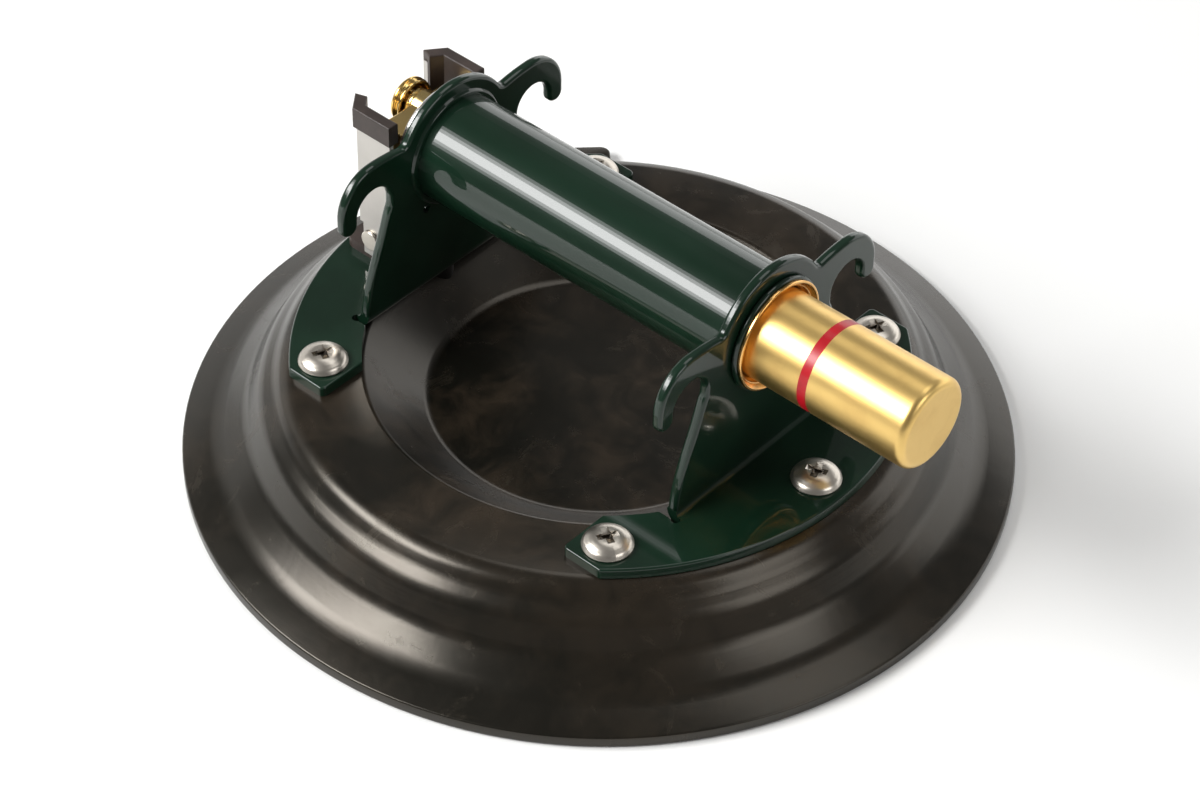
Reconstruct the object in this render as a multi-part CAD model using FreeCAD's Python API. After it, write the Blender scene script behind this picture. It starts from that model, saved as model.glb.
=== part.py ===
import FreeCAD, Part
import math, os

# Hand-held vacuum suction cup with a pump in its handle.
# Frame: origin at the centre of the rim's underside, +Z up, +X along the handle
# towards the pump plunger. All sizes in millimetres.

os.makedirs("parts", exist_ok=True)
V = FreeCAD.Vector
X, Y, Z = V(1, 0, 0), V(0, 1, 0), V(0, 0, 1)

# ---------------------------------------------------------------- main sizes
FLARE_W = 29.2           # rim of the cup, beyond the flat ring that carries the feet
PLATEAU_Z = 29.8         # top of the flat ring
DISH_R = 47.4            # edge of the central dish floor
DISH_Z = 16.5            # top of the dish floor
RUBBER_T = 5.7           # rubber thickness at the dish floor
LIP_T = 3.2              # height of the upright rim edge
TAB_REACH = 9.7          # pull tab, beyond the rim
TAB_W = 20.0
TAB_ANGLE = 135.0

HANDLE_Z = 73.4          # height of the handle axis
LEG_X = 53.5             # inner face of the rear leg
LEG_SHIFT = 1.0          # the front leg stands this much further out
PLATE_T = 3.0            # leg sheet
BEND_R = 1.3             # inside radius of the foot bend
LEG_HALF_W = 35.4        # half width of a leg where it meets the foot
HEAD_WALL = 5.3          # sheet left round the tube in a leg's head

PLUNGER_R = 12.85
PLUNGER_WALL = 0.9
PLUNGER_FIT = 0.08       # radial running clearance of the plunger
PUMP_WALL = 0.79
PUMP_FIT = 0.08          # pump cylinder in the handle tube
TUBE_T = 1.8
PLUNGER_OUT = 49.1       # plunger beyond the pump's mouth
STROKE = 44.0
BAND_W = 2.8

SCREW_R = 2.95           # M6 truss head screw
SCREW_HEAD_R = 6.9
SCREW_HEAD_H = 3.3
SCREW_GAP = 0.35         # clearance hole, radial
SCREW_ANGLE = 46.9       # outer screws, either side of the middle one
PAD_PLATE_T = 2.0

BLOCK_W = 25.0
STEM_Y = 3.5
STEM_R = 2.0
STEM_FIT = 0.06
KNOB_R = 6.7
KNOB_L = 3.3
NECK_R = 4.6
LEVER_T = 1.5
GRIP_OUT = 0.9           # grip beyond the sheet, outside
GRIP_IN = 1.1            # grip beyond the sheet, inside
GRIP_DEEP = 12.5         # height of the grip on the inside
PIN_R = 2.0
PIN_FIT = 0.08
HOSE_R = 3.5
HOSE_BORE = 1.9
GAP = 0.3                # plain clearance between separate faces
FIT = 0.05               # close clearance of pieces that are held

# ---------------------------------------------------------------- what follows from them
FOOT_TOP = PLATEAU_Z + PLATE_T
LEG_OUT = LEG_X + PLATE_T
FRONT_X, FRONT_OUT = LEG_X + LEG_SHIFT, LEG_OUT + LEG_SHIFT
SCREW_HOLE_R = SCREW_R + SCREW_GAP
SCREW_PCR = LEG_OUT + SCREW_HEAD_R + 11.8     # screws lie on this radius
FOOT_IN_R = SCREW_PCR - SCREW_HEAD_R - 3.5
FOOT_OUT_R = SCREW_PCR + SCREW_HEAD_R + 2.4
FOOT_TIP_X = SCREW_PCR * math.cos(math.radians(SCREW_ANGLE)) - SCREW_HEAD_R - 1.182
FOOT_TIP_Y = SCREW_PCR * math.sin(math.radians(SCREW_ANGLE)) + SCREW_HEAD_R + 1.392
PLATEAU_IN_R = FOOT_IN_R - 0.2
PLATEAU_OUT_R = FOOT_OUT_R + 1.3
CUP_R = PLATEAU_OUT_R + FLARE_W
PAD_PLATE_Z = PLATEAU_Z - 5.2
SCREW_TIP = PAD_PLATE_Z - 1.3

CYL_BORE = PLUNGER_R + PLUNGER_FIT
CYL_R = CYL_BORE + PUMP_WALL
TUBE_BORE = CYL_R + PUMP_FIT
TUBE_R = TUBE_BORE + TUBE_T
HEAD_R = TUBE_R + HEAD_WALL
TUBE_REAR = -(LEG_OUT + 0.5)
TUBE_FRONT = FRONT_OUT + 1.5
LIP_R = CYL_R + 2.1     # flared mouth of the pump cylinder
LIP_X = TUBE_FRONT + 1.4
BAND_X = LIP_X + 15.9
PLUNGER_END_X = LIP_X + PLUNGER_OUT

CAP_R = TUBE_R - 0.2     # rear end cap
CAP_X = TUBE_REAR - 4.0
BLOCK_X = CAP_X - 8.7    # rear face of the valve block
BLOCK_TOP = HANDLE_Z + 6.3
BLOCK_BOTTOM = HANDLE_Z - 9.4
STEM_Z = HANDLE_Z + 3.1
KNOB_X = BLOCK_X - 2.5 - KNOB_L  # rear face of the knob

LEVER_HALF_W = CAP_R + 2.3       # outer face of a lever side
LEVER_FRONT_X = CAP_X - 0.2
LEVER_BACK_X = KNOB_X + 1.9
LEVER_WING_X = KNOB_X - 1.9
LEVER_WING_Y = LEVER_HALF_W - 4.8
LEVER_BOTTOM = FOOT_TOP + 3.5
LEVER_TOP = STEM_Z + 7.0
GRIP_Z = STEM_Z + 3.3
GRIP_TOP = STEM_Z + 9.7
PIVOT_X = BLOCK_X + 0.2
PIVOT_Z = FOOT_TOP + 9.2
HOSE_X = -(LEG_OUT + HOSE_R + 0.6)
AXIS = V(0, 0, HANDLE_Z)


# ---------------------------------------------------------------- helpers
def save(name, shape):
    solids = shape.Solids
    shape = solids[0] if len(solids) == 1 else Part.makeCompound(solids)
    shape.exportStep("parts/%s.step" % name)
    print(name, len(solids), round(shape.Volume, 1), shape.isValid())


def cyl(r, x0, x1, y=0.0, z=HANDLE_Z):
    return Part.makeCylinder(r, x1 - x0, V(x0, y, z), X)


def cyl_z(r, z0, z1, x=0.0, y=0.0):
    return Part.makeCylinder(r, z1 - z0, V(x, y, z0), Z)


def box(x0, x1, y0, y1, z0, z1):
    return Part.makeBox(x1 - x0, y1 - y0, z1 - z0, V(x0, y0, z0))


def rounded(points):
    """Closed outline of (a, b, radius) corners in the XZ plane, corners rounded."""
    n = len(points)
    ends, edges = [], []
    for i in range(n):
        p = V(points[i][0], 0, points[i][1])
        a = V(points[i - 1][0], 0, points[i - 1][1])
        b = V(points[(i + 1) % n][0], 0, points[(i + 1) % n][1])
        r = points[i][2]
        u, w = (a - p).normalize(), (b - p).normalize()
        if r <= 0:
            ends.append((p, p, None))
            continue
        half = u.getAngle(w) / 2
        cut = r / math.tan(half)
        mid = p + (u + w).normalize() * (r / math.sin(half) - r)
        ends.append((p + u * cut, p + w * cut, mid))
    for i in range(n):
        start, stop, mid = ends[i]
        if mid is not None:
            edges.append(Part.Arc(start, mid, stop).toShape())
        nxt = ends[(i + 1) % n][0]
        if (nxt - stop).Length > 1e-6:
            edges.append(Part.LineSegment(stop, nxt).toShape())
    return Part.Face(Part.Wire(edges))


def lathe(points, centre=None, along_x=False):
    """Revolve an outline of (radius, height, corner radius) about +Z or the handle axis."""
    solid = rounded(points).revolve(V(0, 0, 0), Z, 360)
    if along_x:
        solid.rotate(V(0, 0, 0), Y, 90)
        solid.translate(centre or AXIS)
    elif centre:
        solid.translate(centre)
    return solid


def soft(shape, radius, pick):
    edges = [e for e in shape.Edges if pick(e)]
    return shape.makeFillet(radius, edges) if edges else shape


def spring(r, wire, x0, x1, turns, y=0.0, z=HANDLE_Z):
    """Coil spring along X with its ends inside x0..x1, the wire drawn with flat facets."""
    per_turn, sides = 16, 8
    count = int(per_turn * turns)
    pitch = (x1 - x0 - 2 * wire) / count
    points, facets = [], []
    for i in range(count + 1):
        a = 2 * math.pi * i / per_turn
        for j in range(sides):
            b = 2 * math.pi * j / sides
            reach = r + wire * math.cos(b)
            points.append(V(x0 + wire + pitch * i + wire * math.sin(b),
                            y + reach * math.cos(a), z + reach * math.sin(a)))
    for i in range(count):
        for j in range(sides):
            here, beside = i * sides + j, i * sides + (j + 1) % sides
            facets.append((here, beside, here + sides))
            facets.append((beside, beside + sides, here + sides))
    for j in range(1, sides - 1):
        last = count * sides
        facets.append((0, j + 1, j))
        facets.append((last, last + j, last + j + 1))
    skin = Part.Shape()
    skin.makeShapeFromMesh((points, facets), 0.001)
    coil = Part.Solid(Part.Shell(skin.Faces))
    if coil.Volume < 0:
        coil.reverse()
    return coil


# ---------------------------------------------------------------- pad plate and screws
def around_screws():
    """Centres of the six foot screws, rear middle one last."""
    places = []
    for side in (0, 180):
        for step in (-SCREW_ANGLE, SCREW_ANGLE, 0):
            a = math.radians(side + step)
            places.append((SCREW_PCR * math.cos(a), SCREW_PCR * math.sin(a)))
    return places


SCREWS = around_screws()
BOSS_R = SCREW_R + 2.05
BOSS_H = 1.7
PORT_Y = 0.5

plate = cyl_z(FOOT_OUT_R - 1.1, PAD_PLATE_Z, PAD_PLATE_Z + PAD_PLATE_T)
plate = plate.cut(cyl_z(FOOT_IN_R + 1.8, PAD_PLATE_Z - 1, PAD_PLATE_Z + 5))
for sx, sy in SCREWS:
    plate = plate.fuse(cyl_z(BOSS_R, PAD_PLATE_Z - BOSS_H, PAD_PLATE_Z + 0.5, sx, sy))
plate_blank = plate.removeSplitter()
pad_plate = plate_blank
for sx, sy in SCREWS:
    pad_plate = pad_plate.cut(cyl_z(SCREW_R + FIT, PLATEAU_Z - 15, PLATEAU_Z + 5, sx, sy))
save("pad_plate", pad_plate)


def screw(x, y, seat, tip):
    """Pan-shaped head with a cross recess, plain shank."""
    head = lathe([(0, 0, 0), (SCREW_HEAD_R - 0.3, 0, 0), (SCREW_HEAD_R, 0.5, 0.3),
                  (SCREW_HEAD_R - 0.7, 1.75, 2.0), (SCREW_HEAD_R - 3.2, SCREW_HEAD_H, 5.0),
                  (0, SCREW_HEAD_H, 0)])
    for turn in (0, 90):
        slot = Part.makeWedge(-3.1, 0, -0.9, -1.9, -0.5, 3.1, 2.2, 0.9, 1.9, 0.5)
        slot = slot.mirror(V(0, 0, 0), Y)
        slot.rotate(V(0, 0, 0), X, 90)
        slot.rotate(V(0, 0, 0), Z, turn)
        low = min(v.Z for v in slot.Vertexes)
        slot.translate(V(0, 0, 1.2 - low))
        head = head.cut(slot)
    body = head.fuse(cyl_z(SCREW_R, tip - seat, 0.2))
    tip_edges = [e for e in body.Edges if abs(e.BoundBox.ZMax - (tip - seat)) < 1e-6]
    body = body.makeChamfer(0.6, tip_edges)
    body.rotate(V(0, 0, 0), Z, math.degrees(math.atan2(y, x)) + 18)
    body.translate(V(x, y, seat))
    return body


foot_screws = [screw(sx, sy, FOOT_TOP, SCREW_TIP) for sx, sy in SCREWS[:5]]
save("foot_screws", Part.makeCompound(foot_screws))

# ---------------------------------------------------------------- rubber cup
SKIRT = [
    (0, DISH_Z - RUBBER_T, 0), (0, DISH_Z, 0), (DISH_R, DISH_Z, 3.0),
    (PLATEAU_IN_R, PLATEAU_Z, 2.5), (PLATEAU_OUT_R, PLATEAU_Z, 5.5),
    (PLATEAU_OUT_R + 3.4, PLATEAU_Z - 5.4, 1.3), (PLATEAU_OUT_R + 6.5, PLATEAU_Z - 6.7, 4.0),
    (PLATEAU_OUT_R + 10.2, PLATEAU_Z - 15.8, 12.0), (CUP_R - 10, LIP_T + 3.6, 20.0),
    (CUP_R, LIP_T, 0.6), (CUP_R, 0, 0.6), (CUP_R - 4.6, 0, 0.8),
    (CUP_R - 9, 3.2, 8.0), (CUP_R - 18, 9.4, 14.0), (PLATEAU_OUT_R - 2.6, PAD_PLATE_Z - 2.4, 5.0),
    (FOOT_IN_R + 2.2, PAD_PLATE_Z - 2.4, 5.0), (DISH_R + 1.5, DISH_Z - RUBBER_T, 4.0),
]
pad = lathe(SKIRT)
tab = box(CUP_R - 4, CUP_R + TAB_REACH, -TAB_W / 2, TAB_W / 2, 0.7, LIP_T)
tab = soft(tab, 3.0, lambda e: e.BoundBox.ZLength > 1 and e.BoundBox.XMin > CUP_R)
tab = soft(tab, 0.5, lambda e: e.BoundBox.ZLength < 0.1 and abs(e.BoundBox.ZMax - LIP_T) < 0.01
           and e.BoundBox.XMax > CUP_R + 1)
tab.rotate(V(0, 0, 0), Z, TAB_ANGLE)
pad = pad.fuse(tab).cut(plate_blank)
for sx, sy in SCREWS:
    pad = pad.cut(cyl_z(SCREW_HOLE_R, PAD_PLATE_Z + 1, PLATEAU_Z + 5, sx, sy))
FILTER_R, FILTER_T = 3.6, 1.6
FILTER_Z = PLATEAU_Z - 10.5
pad = pad.cut(cyl_z(HOSE_R - 0.9 + FIT, FILTER_Z, PLATEAU_Z + 5, HOSE_X, PORT_Y))
pad = pad.cut(cyl_z(FILTER_R + FIT, 0, FILTER_Z + FILTER_T, HOSE_X, PORT_Y))
save("suction_pad", pad.removeSplitter())

# ---------------------------------------------------------------- legs
HOOK_Y, HOOK_Z = HEAD_R + 9.9, HANDLE_Z - 1.4     # centre of a hook's outer curve
HOOK_R = 12.3
THROAT_R = 6.3
THROAT_LOW, THROAT_TOP = HANDLE_Z - 4.5, HANDLE_Z - 3.3
WAIST_Y = HEAD_R + 4.0


def leg_outline():
    """Web of a leg with its two hooks in the YZ plane; the round head is added to it."""
    def pt(y, z):
        return V(0, y, z)

    low = FOOT_TOP + BEND_R
    rise = THROAT_LOW - low
    throat_y = WAIST_Y + THROAT_R
    tip_r = (HOOK_Y + HOOK_R - throat_y - THROAT_R) / 2
    tip_y = throat_y + THROAT_R + tip_r
    d = HOOK_R * math.sqrt(0.5)
    crown = 60.0
    end_y = HEAD_R - 3.9
    end_z = HOOK_Z + HOOK_R - crown + math.sqrt(crown ** 2 - (HOOK_Y - end_y) ** 2)
    mid_y = (HOOK_Y + end_y) / 2
    mid_z = HOOK_Z + HOOK_R - crown + math.sqrt(crown ** 2 - (HOOK_Y - mid_y) ** 2)
    edges = []
    for side in (1, -1):
        taper = Part.BSplineCurve()
        taper.interpolate(Points=[pt(side * a, b) for a, b in
                                  ((LEG_HALF_W, low), (LEG_HALF_W - 0.5, low + 0.14 * rise),
                                   (LEG_HALF_W - 2.8, low + 0.38 * rise),
                                   (LEG_HALF_W - 7.1, low + 0.70 * rise),
                                   (WAIST_Y + 0.5, low + 0.93 * rise), (WAIST_Y, THROAT_LOW))],
                          InitialTangent=V(0, 0, 1), FinalTangent=V(0, 0, 1))
        edges.append(taper.toShape())
        for kind, *pts in (
                ("line", (WAIST_Y, THROAT_LOW), (WAIST_Y, THROAT_TOP)),
                ("arc", (WAIST_Y, THROAT_TOP), (throat_y, THROAT_TOP + THROAT_R),
                 (throat_y + THROAT_R, THROAT_TOP)),
                ("line", (throat_y + THROAT_R, THROAT_TOP), (throat_y + THROAT_R, THROAT_LOW)),
                ("arc", (throat_y + THROAT_R, THROAT_LOW), (tip_y, THROAT_LOW - tip_r),
                 (tip_y + tip_r, THROAT_LOW)),
                ("line", (tip_y + tip_r, THROAT_LOW), (tip_y + tip_r, HOOK_Z)),
                ("arc", (tip_y + tip_r, HOOK_Z), (HOOK_Y + d, HOOK_Z + d), (HOOK_Y, HOOK_Z + HOOK_R)),
                ("arc", (HOOK_Y, HOOK_Z + HOOK_R), (mid_y, mid_z), (end_y, end_z))):
            ps = [pt(side * a, b) for a, b in pts]
            maker = Part.LineSegment if kind == "line" else Part.Arc
            edges.append(maker(*ps).toShape())
    edges.append(Part.LineSegment(pt(-end_y, end_z), pt(end_y, end_z)).toShape())
    edges.append(Part.LineSegment(pt(-LEG_HALF_W, low), pt(LEG_HALF_W, low)).toShape())
    return Part.Face(Part.Wire(Part.__sortEdges__(edges)))


def leg(front):
    inner = FRONT_X if front else LEG_X
    outer = inner + PLATE_T
    up = leg_outline().extrude(V(PLATE_T, 0, 0))
    up.translate(V(inner, 0, 0))
    up = up.fuse(cyl(HEAD_R, inner, outer)).removeSplitter()
    up = soft(up, 2.5, lambda e: e.BoundBox.YLength < 0.01 and e.BoundBox.ZMin > HANDLE_Z + 6)
    up = soft(up, 1.1, lambda e: e.BoundBox.XLength < 0.01 and e.BoundBox.ZMax > FOOT_TOP + BEND_R + 1)
    # bend between upright and foot: quarter ring of sheet
    cx, cz = outer + BEND_R, FOOT_TOP + BEND_R
    bend = Part.makeCylinder(BEND_R + PLATE_T, 2 * LEG_HALF_W, V(cx, -LEG_HALF_W, cz), Y)
    bend = bend.cut(Part.makeCylinder(BEND_R, 2 * LEG_HALF_W, V(cx, -LEG_HALF_W, cz), Y))
    bend = bend.common(box(inner, cx, -LEG_HALF_W, LEG_HALF_W, PLATEAU_Z, cz))
    # crescent foot that follows the flat ring of the cup, cut square at its tips
    foot = cyl_z(FOOT_OUT_R, PLATEAU_Z, FOOT_TOP).cut(cyl_z(FOOT_IN_R, 0, 60))
    foot = foot.common(box(FOOT_TIP_X, 2 * CUP_R, -FOOT_TIP_Y, FOOT_TIP_Y, 0, 60))
    web = box(cx, FOOT_IN_R + 4, -LEG_HALF_W, LEG_HALF_W, PLATEAU_Z, FOOT_TOP)
    relief = [cyl_z(1.3, PLATEAU_Z - 1, FOOT_TOP + 1, cx - 0.6, s * (LEG_HALF_W + 0.9)) for s in (1, -1)]
    foot = foot.cut(box(0, cx, -LEG_HALF_W - 1.6, LEG_HALF_W + 1.6, 0, FOOT_TOP + 5)).fuse(web)
    foot = foot.cut(relief[0]).cut(relief[1]).removeSplitter()
    foot = soft(foot, 1.6, lambda e: e.BoundBox.ZLength > 2 and e.BoundBox.XLength < 0.01
                and abs(e.CenterOfMass.y) > FOOT_TIP_Y - 14)
    foot = soft(foot, 0.6, lambda e: e.BoundBox.ZLength < 0.01 and e.BoundBox.ZMin > FOOT_TOP - 0.01
                and e.Length > 18 and e.BoundBox.XMax > cx + 3)
    body = up.fuse(bend).fuse(foot)
    body = body.cut(cyl(TUBE_R + FIT, inner - 10, outer + 10))
    # rolled collar around the tube on the hand side
    collar = lathe([(TUBE_R + FIT, 0, 0), (TUBE_R + 1.7, 0, 0), (TUBE_R + 1.2, 0.8, 0.5),
                    (TUBE_R + FIT, 0.8, 0)], V(inner, 0, HANDLE_Z), True)
    collar = collar.mirror(V(inner, 0, 0), X)
    body = body.fuse(collar).removeSplitter()
    for sx, sy in SCREWS[:3]:
        body = body.cut(cyl_z(SCREW_HOLE_R, PLATEAU_Z - 5, FOOT_TOP + 10, sx, sy))
    if not front:
        body = body.mirror(V(0, 0, 0), X)
        body = body.cut(cyl(1.25, -LEG_OUT - 5, -LEG_X + 5, -11.8, HANDLE_Z - 14.8))
        body = body.cut(cyl_z(HOSE_R + 0.5, PLATEAU_Z - 10, PLATEAU_Z + 30, HOSE_X, PORT_Y))
    return body


save("front_leg", leg(True))
save("rear_leg", leg(False))

# ---------------------------------------------------------------- handle tube
BEAD = 0.85
tube = cyl(TUBE_R, TUBE_REAR, TUBE_FRONT)
bead = Part.makeTorus(TUBE_R, BEAD, V(FRONT_OUT + BEAD + 0.1, 0, HANDLE_Z), X)
tube = tube.fuse(bead).cut(cyl(TUBE_BORE, -2 * LEG_X, 2 * LEG_X)).removeSplitter()
save("handle_tube", tube)

# ---------------------------------------------------------------- pump
CYL_REAR = TUBE_REAR + 0.4
pump = lathe([(CYL_BORE, CYL_REAR, 0), (CYL_R, CYL_REAR, 0), (CYL_R, TUBE_FRONT + 0.1, 0.4),
              (LIP_R, LIP_X - 1.0, 0.4), (LIP_R, LIP_X, 0.35), (LIP_R - 0.7, LIP_X, 0.2),
              (CYL_BORE, LIP_X - 2.8, 1.2)], AXIS, True)
save("pump_cylinder", pump)

PISTON_X = LIP_X - 25.2
CAP_INNER_X = PISTON_X + 6.0
BAND_DEEP = 0.22
cap = lathe([(PLUNGER_R - PLUNGER_WALL, CAP_INNER_X, 0), (PLUNGER_R, CAP_INNER_X, 0),
             (PLUNGER_R, PLUNGER_END_X, 2.2), (0, PLUNGER_END_X, 0),
             (0, PLUNGER_END_X - PLUNGER_WALL, 0),
             (PLUNGER_R - PLUNGER_WALL, PLUNGER_END_X - PLUNGER_WALL, 1.4)], AXIS, True)
band_ring = cyl(PLUNGER_R + 1, BAND_X, BAND_X + BAND_W).cut(
    cyl(PLUNGER_R - BAND_DEEP, BAND_X - 1, BAND_X + BAND_W + 1))
cap = cap.cut(band_ring)
save("plunger_cap", cap)
band = cyl(PLUNGER_R - 0.01, BAND_X, BAND_X + BAND_W).cut(
    cyl(PLUNGER_R - BAND_DEEP, BAND_X - 1, BAND_X + BAND_W + 1))
save("red_band", band)

SEAL_X0, SEAL_X1 = PISTON_X + 1.2, PISTON_X + 4.6
SEAL_FLOOR = PLUNGER_R - 2.25
piston = lathe([(0, PISTON_X, 0), (PLUNGER_R - 0.25, PISTON_X, 0.3),
                (PLUNGER_R - 0.25, SEAL_X0, 0), (SEAL_FLOOR, SEAL_X0, 0),
                (SEAL_FLOOR, SEAL_X1, 0), (PLUNGER_R - 0.25, SEAL_X1, 0),
                (PLUNGER_R - 0.25, CAP_INNER_X, 0),
                (PLUNGER_R - PLUNGER_WALL - FIT, CAP_INNER_X, 0),
                (PLUNGER_R - PLUNGER_WALL - FIT, CAP_INNER_X + 9, 0.5),
                (0, CAP_INNER_X + 9, 0)], AXIS, True)
VENT_PITCH = PLUNGER_R / 2
for i in range(4):
    a = math.radians(45 + 90 * i)
    piston = piston.cut(cyl(1.1, PISTON_X - 1, CAP_INNER_X + 10,
                            VENT_PITCH * math.cos(a), HANDLE_Z + VENT_PITCH * math.sin(a)))
save("piston", piston)
seal = lathe([(SEAL_FLOOR, SEAL_X0 + 0.1, 0), (PLUNGER_R - 0.9, SEAL_X0 + 0.1, 0.3),
              (PLUNGER_R + 0.04, SEAL_X1 - 0.7, 0), (PLUNGER_R + 0.04, SEAL_X1 - 0.1, 0),
              (SEAL_FLOOR, SEAL_X1 - 0.1, 0)], AXIS, True)
save("piston_seal", seal)

PLUG_FACE = CYL_REAR + 6.6
save("plunger_spring", spring(PLUNGER_R - 3.25, 0.75, PLUG_FACE + 0.05, PISTON_X - 0.05, 11))

# ---------------------------------------------------------------- rear plug and check valve
SPIGOT_R = 8.0
plug = cyl(CYL_BORE - FIT, CYL_REAR + 0.1, PLUG_FACE)
plug = plug.cut(cyl(SPIGOT_R + FIT, CYL_REAR - 1, PLUG_FACE - 2.4))
PLUG_RING = CYL_REAR + 2.2
RING_R = 0.93
plug = plug.cut(cyl(2 * CYL_BORE, PLUG_RING, PLUG_RING + 2.2).cut(
    cyl(CYL_BORE - 2 * RING_R - 0.07, PLUG_RING, PLUG_RING + 2.2)))
plug = plug.cut(cyl(1.25, CYL_REAR - 5, PLUG_FACE + 10))
for i in range(4):
    a = math.radians(90 * i)
    plug = plug.cut(cyl(0.9, CYL_REAR - 5, PLUG_FACE + 10, 3.3 * math.cos(a), HANDLE_Z + 3.3 * math.sin(a)))
save("end_plug", plug)
ring = Part.makeTorus(CYL_BORE - RING_R - 0.05, RING_R, V(PLUG_RING + 1.1, 0, HANDLE_Z), X)
save("plug_ring", ring)
umbrella = lathe([(0, PLUG_FACE - 3.6, 0), (1.7, PLUG_FACE - 2.6, 0.3), (1.15, PLUG_FACE - 2.45, 0),
                  (1.15, PLUG_FACE + 0.05, 0), (5.6, PLUG_FACE + 0.05, 0.2),
                  (4.8, PLUG_FACE + 0.8, 0.4), (0, PLUG_FACE + 1.5, 0)], AXIS, True)
save("check_valve", umbrella)

end_cap = cyl(CAP_R, CAP_X, TUBE_REAR - 0.1)
end_cap = soft(end_cap, 1.0, lambda e: abs(e.BoundBox.XMin - CAP_X) < 0.01 and e.BoundBox.ZLength > 20)
end_cap = end_cap.cut(cyl(SPIGOT_R + FIT, CAP_X - 10, CAP_X + 20))
save("end_cap", end_cap)

# ---------------------------------------------------------------- release valve
NECK_X = BLOCK_X - 2.4
CHAMBER_R = STEM_R + 2.4
SPRING_WELL_R = STEM_R + 1.7
CHAMBER_X = CAP_X - 4.5  # seat of the stem seal
block = box(BLOCK_X, CAP_X, -BLOCK_W / 2, BLOCK_W / 2, BLOCK_BOTTOM, BLOCK_TOP)
block = soft(block, 0.7, lambda e: True)
boss = cyl(5.2, BLOCK_X, CAP_X, STEM_Y, STEM_Z)
neck = lathe([(0, 0, 0), (NECK_R, 0, 0), (NECK_R, 0.5, 0), (NECK_R - 0.3, 0.8, 0),
              (NECK_R, 1.1, 0), (NECK_R, 1.5, 0), (NECK_R - 0.3, 1.8, 0), (NECK_R, 2.1, 0),
              (NECK_R, 2.6, 0), (0, 2.6, 0)], V(NECK_X, STEM_Y, STEM_Z), True)
block = block.fuse(boss).fuse(neck).fuse(cyl(SPIGOT_R, CAP_X - 0.5, PLUG_FACE - 3.9)).removeSplitter()
block = block.cut(cyl(CHAMBER_R, CHAMBER_X, CAP_X + 0.6, STEM_Y, STEM_Z))
block = block.cut(cyl(STEM_R + STEM_FIT, NECK_X - 10, CHAMBER_X + 1, STEM_Y, STEM_Z))
SPRING_SEAT = BLOCK_X + 1.1
STEM_END = CAP_X - 1.7
block = block.cut(cyl(SPRING_WELL_R, NECK_X - 1, SPRING_SEAT, STEM_Y, STEM_Z))
block = block.cut(cyl(2.6, CAP_X - 0.2, CAP_X + 20))
NIPPLE_X = CAP_X - 3.9
nipple = cyl_z(HOSE_BORE - FIT, BLOCK_BOTTOM - 6.3, BLOCK_BOTTOM + 0.5, NIPPLE_X, PORT_Y)
block = block.fuse(nipple)
block = block.cut(cyl_z(1.0, BLOCK_BOTTOM - 14, STEM_Z - 1, NIPPLE_X, PORT_Y))
save("valve_block", block.removeSplitter())

knob = lathe([(0, 0, 0), (KNOB_R, 0, 0.8), (KNOB_R, 1.0, 0), (KNOB_R - 0.35, 1.25, 0),
              (KNOB_R, 1.5, 0), (KNOB_R - 0.35, 1.8, 0), (KNOB_R, 2.1, 0), (KNOB_R - 0.35, 2.4, 0),
              (KNOB_R, KNOB_L, 0.4), (KNOB_R - 1.1, KNOB_L, 0.3),
              (KNOB_R - 2.0, 1.2, 1.0), (STEM_R, 1.2, 0), (STEM_R, STEM_END - KNOB_X, 0.3),
              (0, STEM_END - KNOB_X, 0)], V(KNOB_X, STEM_Y, STEM_Z), True)
save("release_knob", knob)
seal_disc = cyl(CHAMBER_R - 0.7, CHAMBER_X, CHAMBER_X + 1.4, STEM_Y, STEM_Z)
seal_disc = seal_disc.cut(cyl(STEM_R + 0.01, CHAMBER_X - 5, CHAMBER_X + 5, STEM_Y, STEM_Z))
seal_disc.translate(V(0.05, 0, 0))
save("stem_seal", seal_disc)
save("stem_spring", spring(STEM_R + 0.9, 0.35, KNOB_X + 1.25, SPRING_SEAT - 0.05, 4, STEM_Y, STEM_Z))

# ---------------------------------------------------------------- release lever
def sheet_path(off):
    """Half outline of the folded lever in plan, shifted outwards by off."""
    dx, dy = LEVER_WING_X - LEVER_BACK_X, LEVER_WING_Y - LEVER_HALF_W
    length = math.hypot(dx, dy)
    nx, ny = dy / length, -dx / length
    y_side = LEVER_HALF_W + off
    x_web = LEVER_WING_X - off
    # corner of side and wing, corner of wing and back
    t1 = (y_side - (LEVER_HALF_W + ny * off)) / dy
    corner = (LEVER_BACK_X + nx * off + dx * t1, y_side)
    t2 = (x_web - (LEVER_BACK_X + nx * off)) / dx
    back = (x_web, LEVER_HALF_W + ny * off + dy * t2)
    return (LEVER_FRONT_X, y_side), corner, back


def sheet(inside, outside, z0, z1, stop_y=0.0, front=0.0):
    """One half of the folded lever (near side, -Y) between two offsets."""
    a, b, c = sheet_path(outside)
    d, e, f = sheet_path(inside)
    pts = [(a[0] + front, a[1]), b, c]
    if stop_y > 0:
        # end the wing square to its own run, before the back
        pts += [f, e, (d[0] + front, d[1])]
    else:
        pts += [(c[0], 0), (f[0], 0), f, e, (d[0] + front, d[1])]
    wire = Part.makePolygon([V(p[0], -p[1], z0) for p in pts + pts[:1]])
    return Part.Face(wire).extrude(V(0, 0, z1 - z0))


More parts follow.
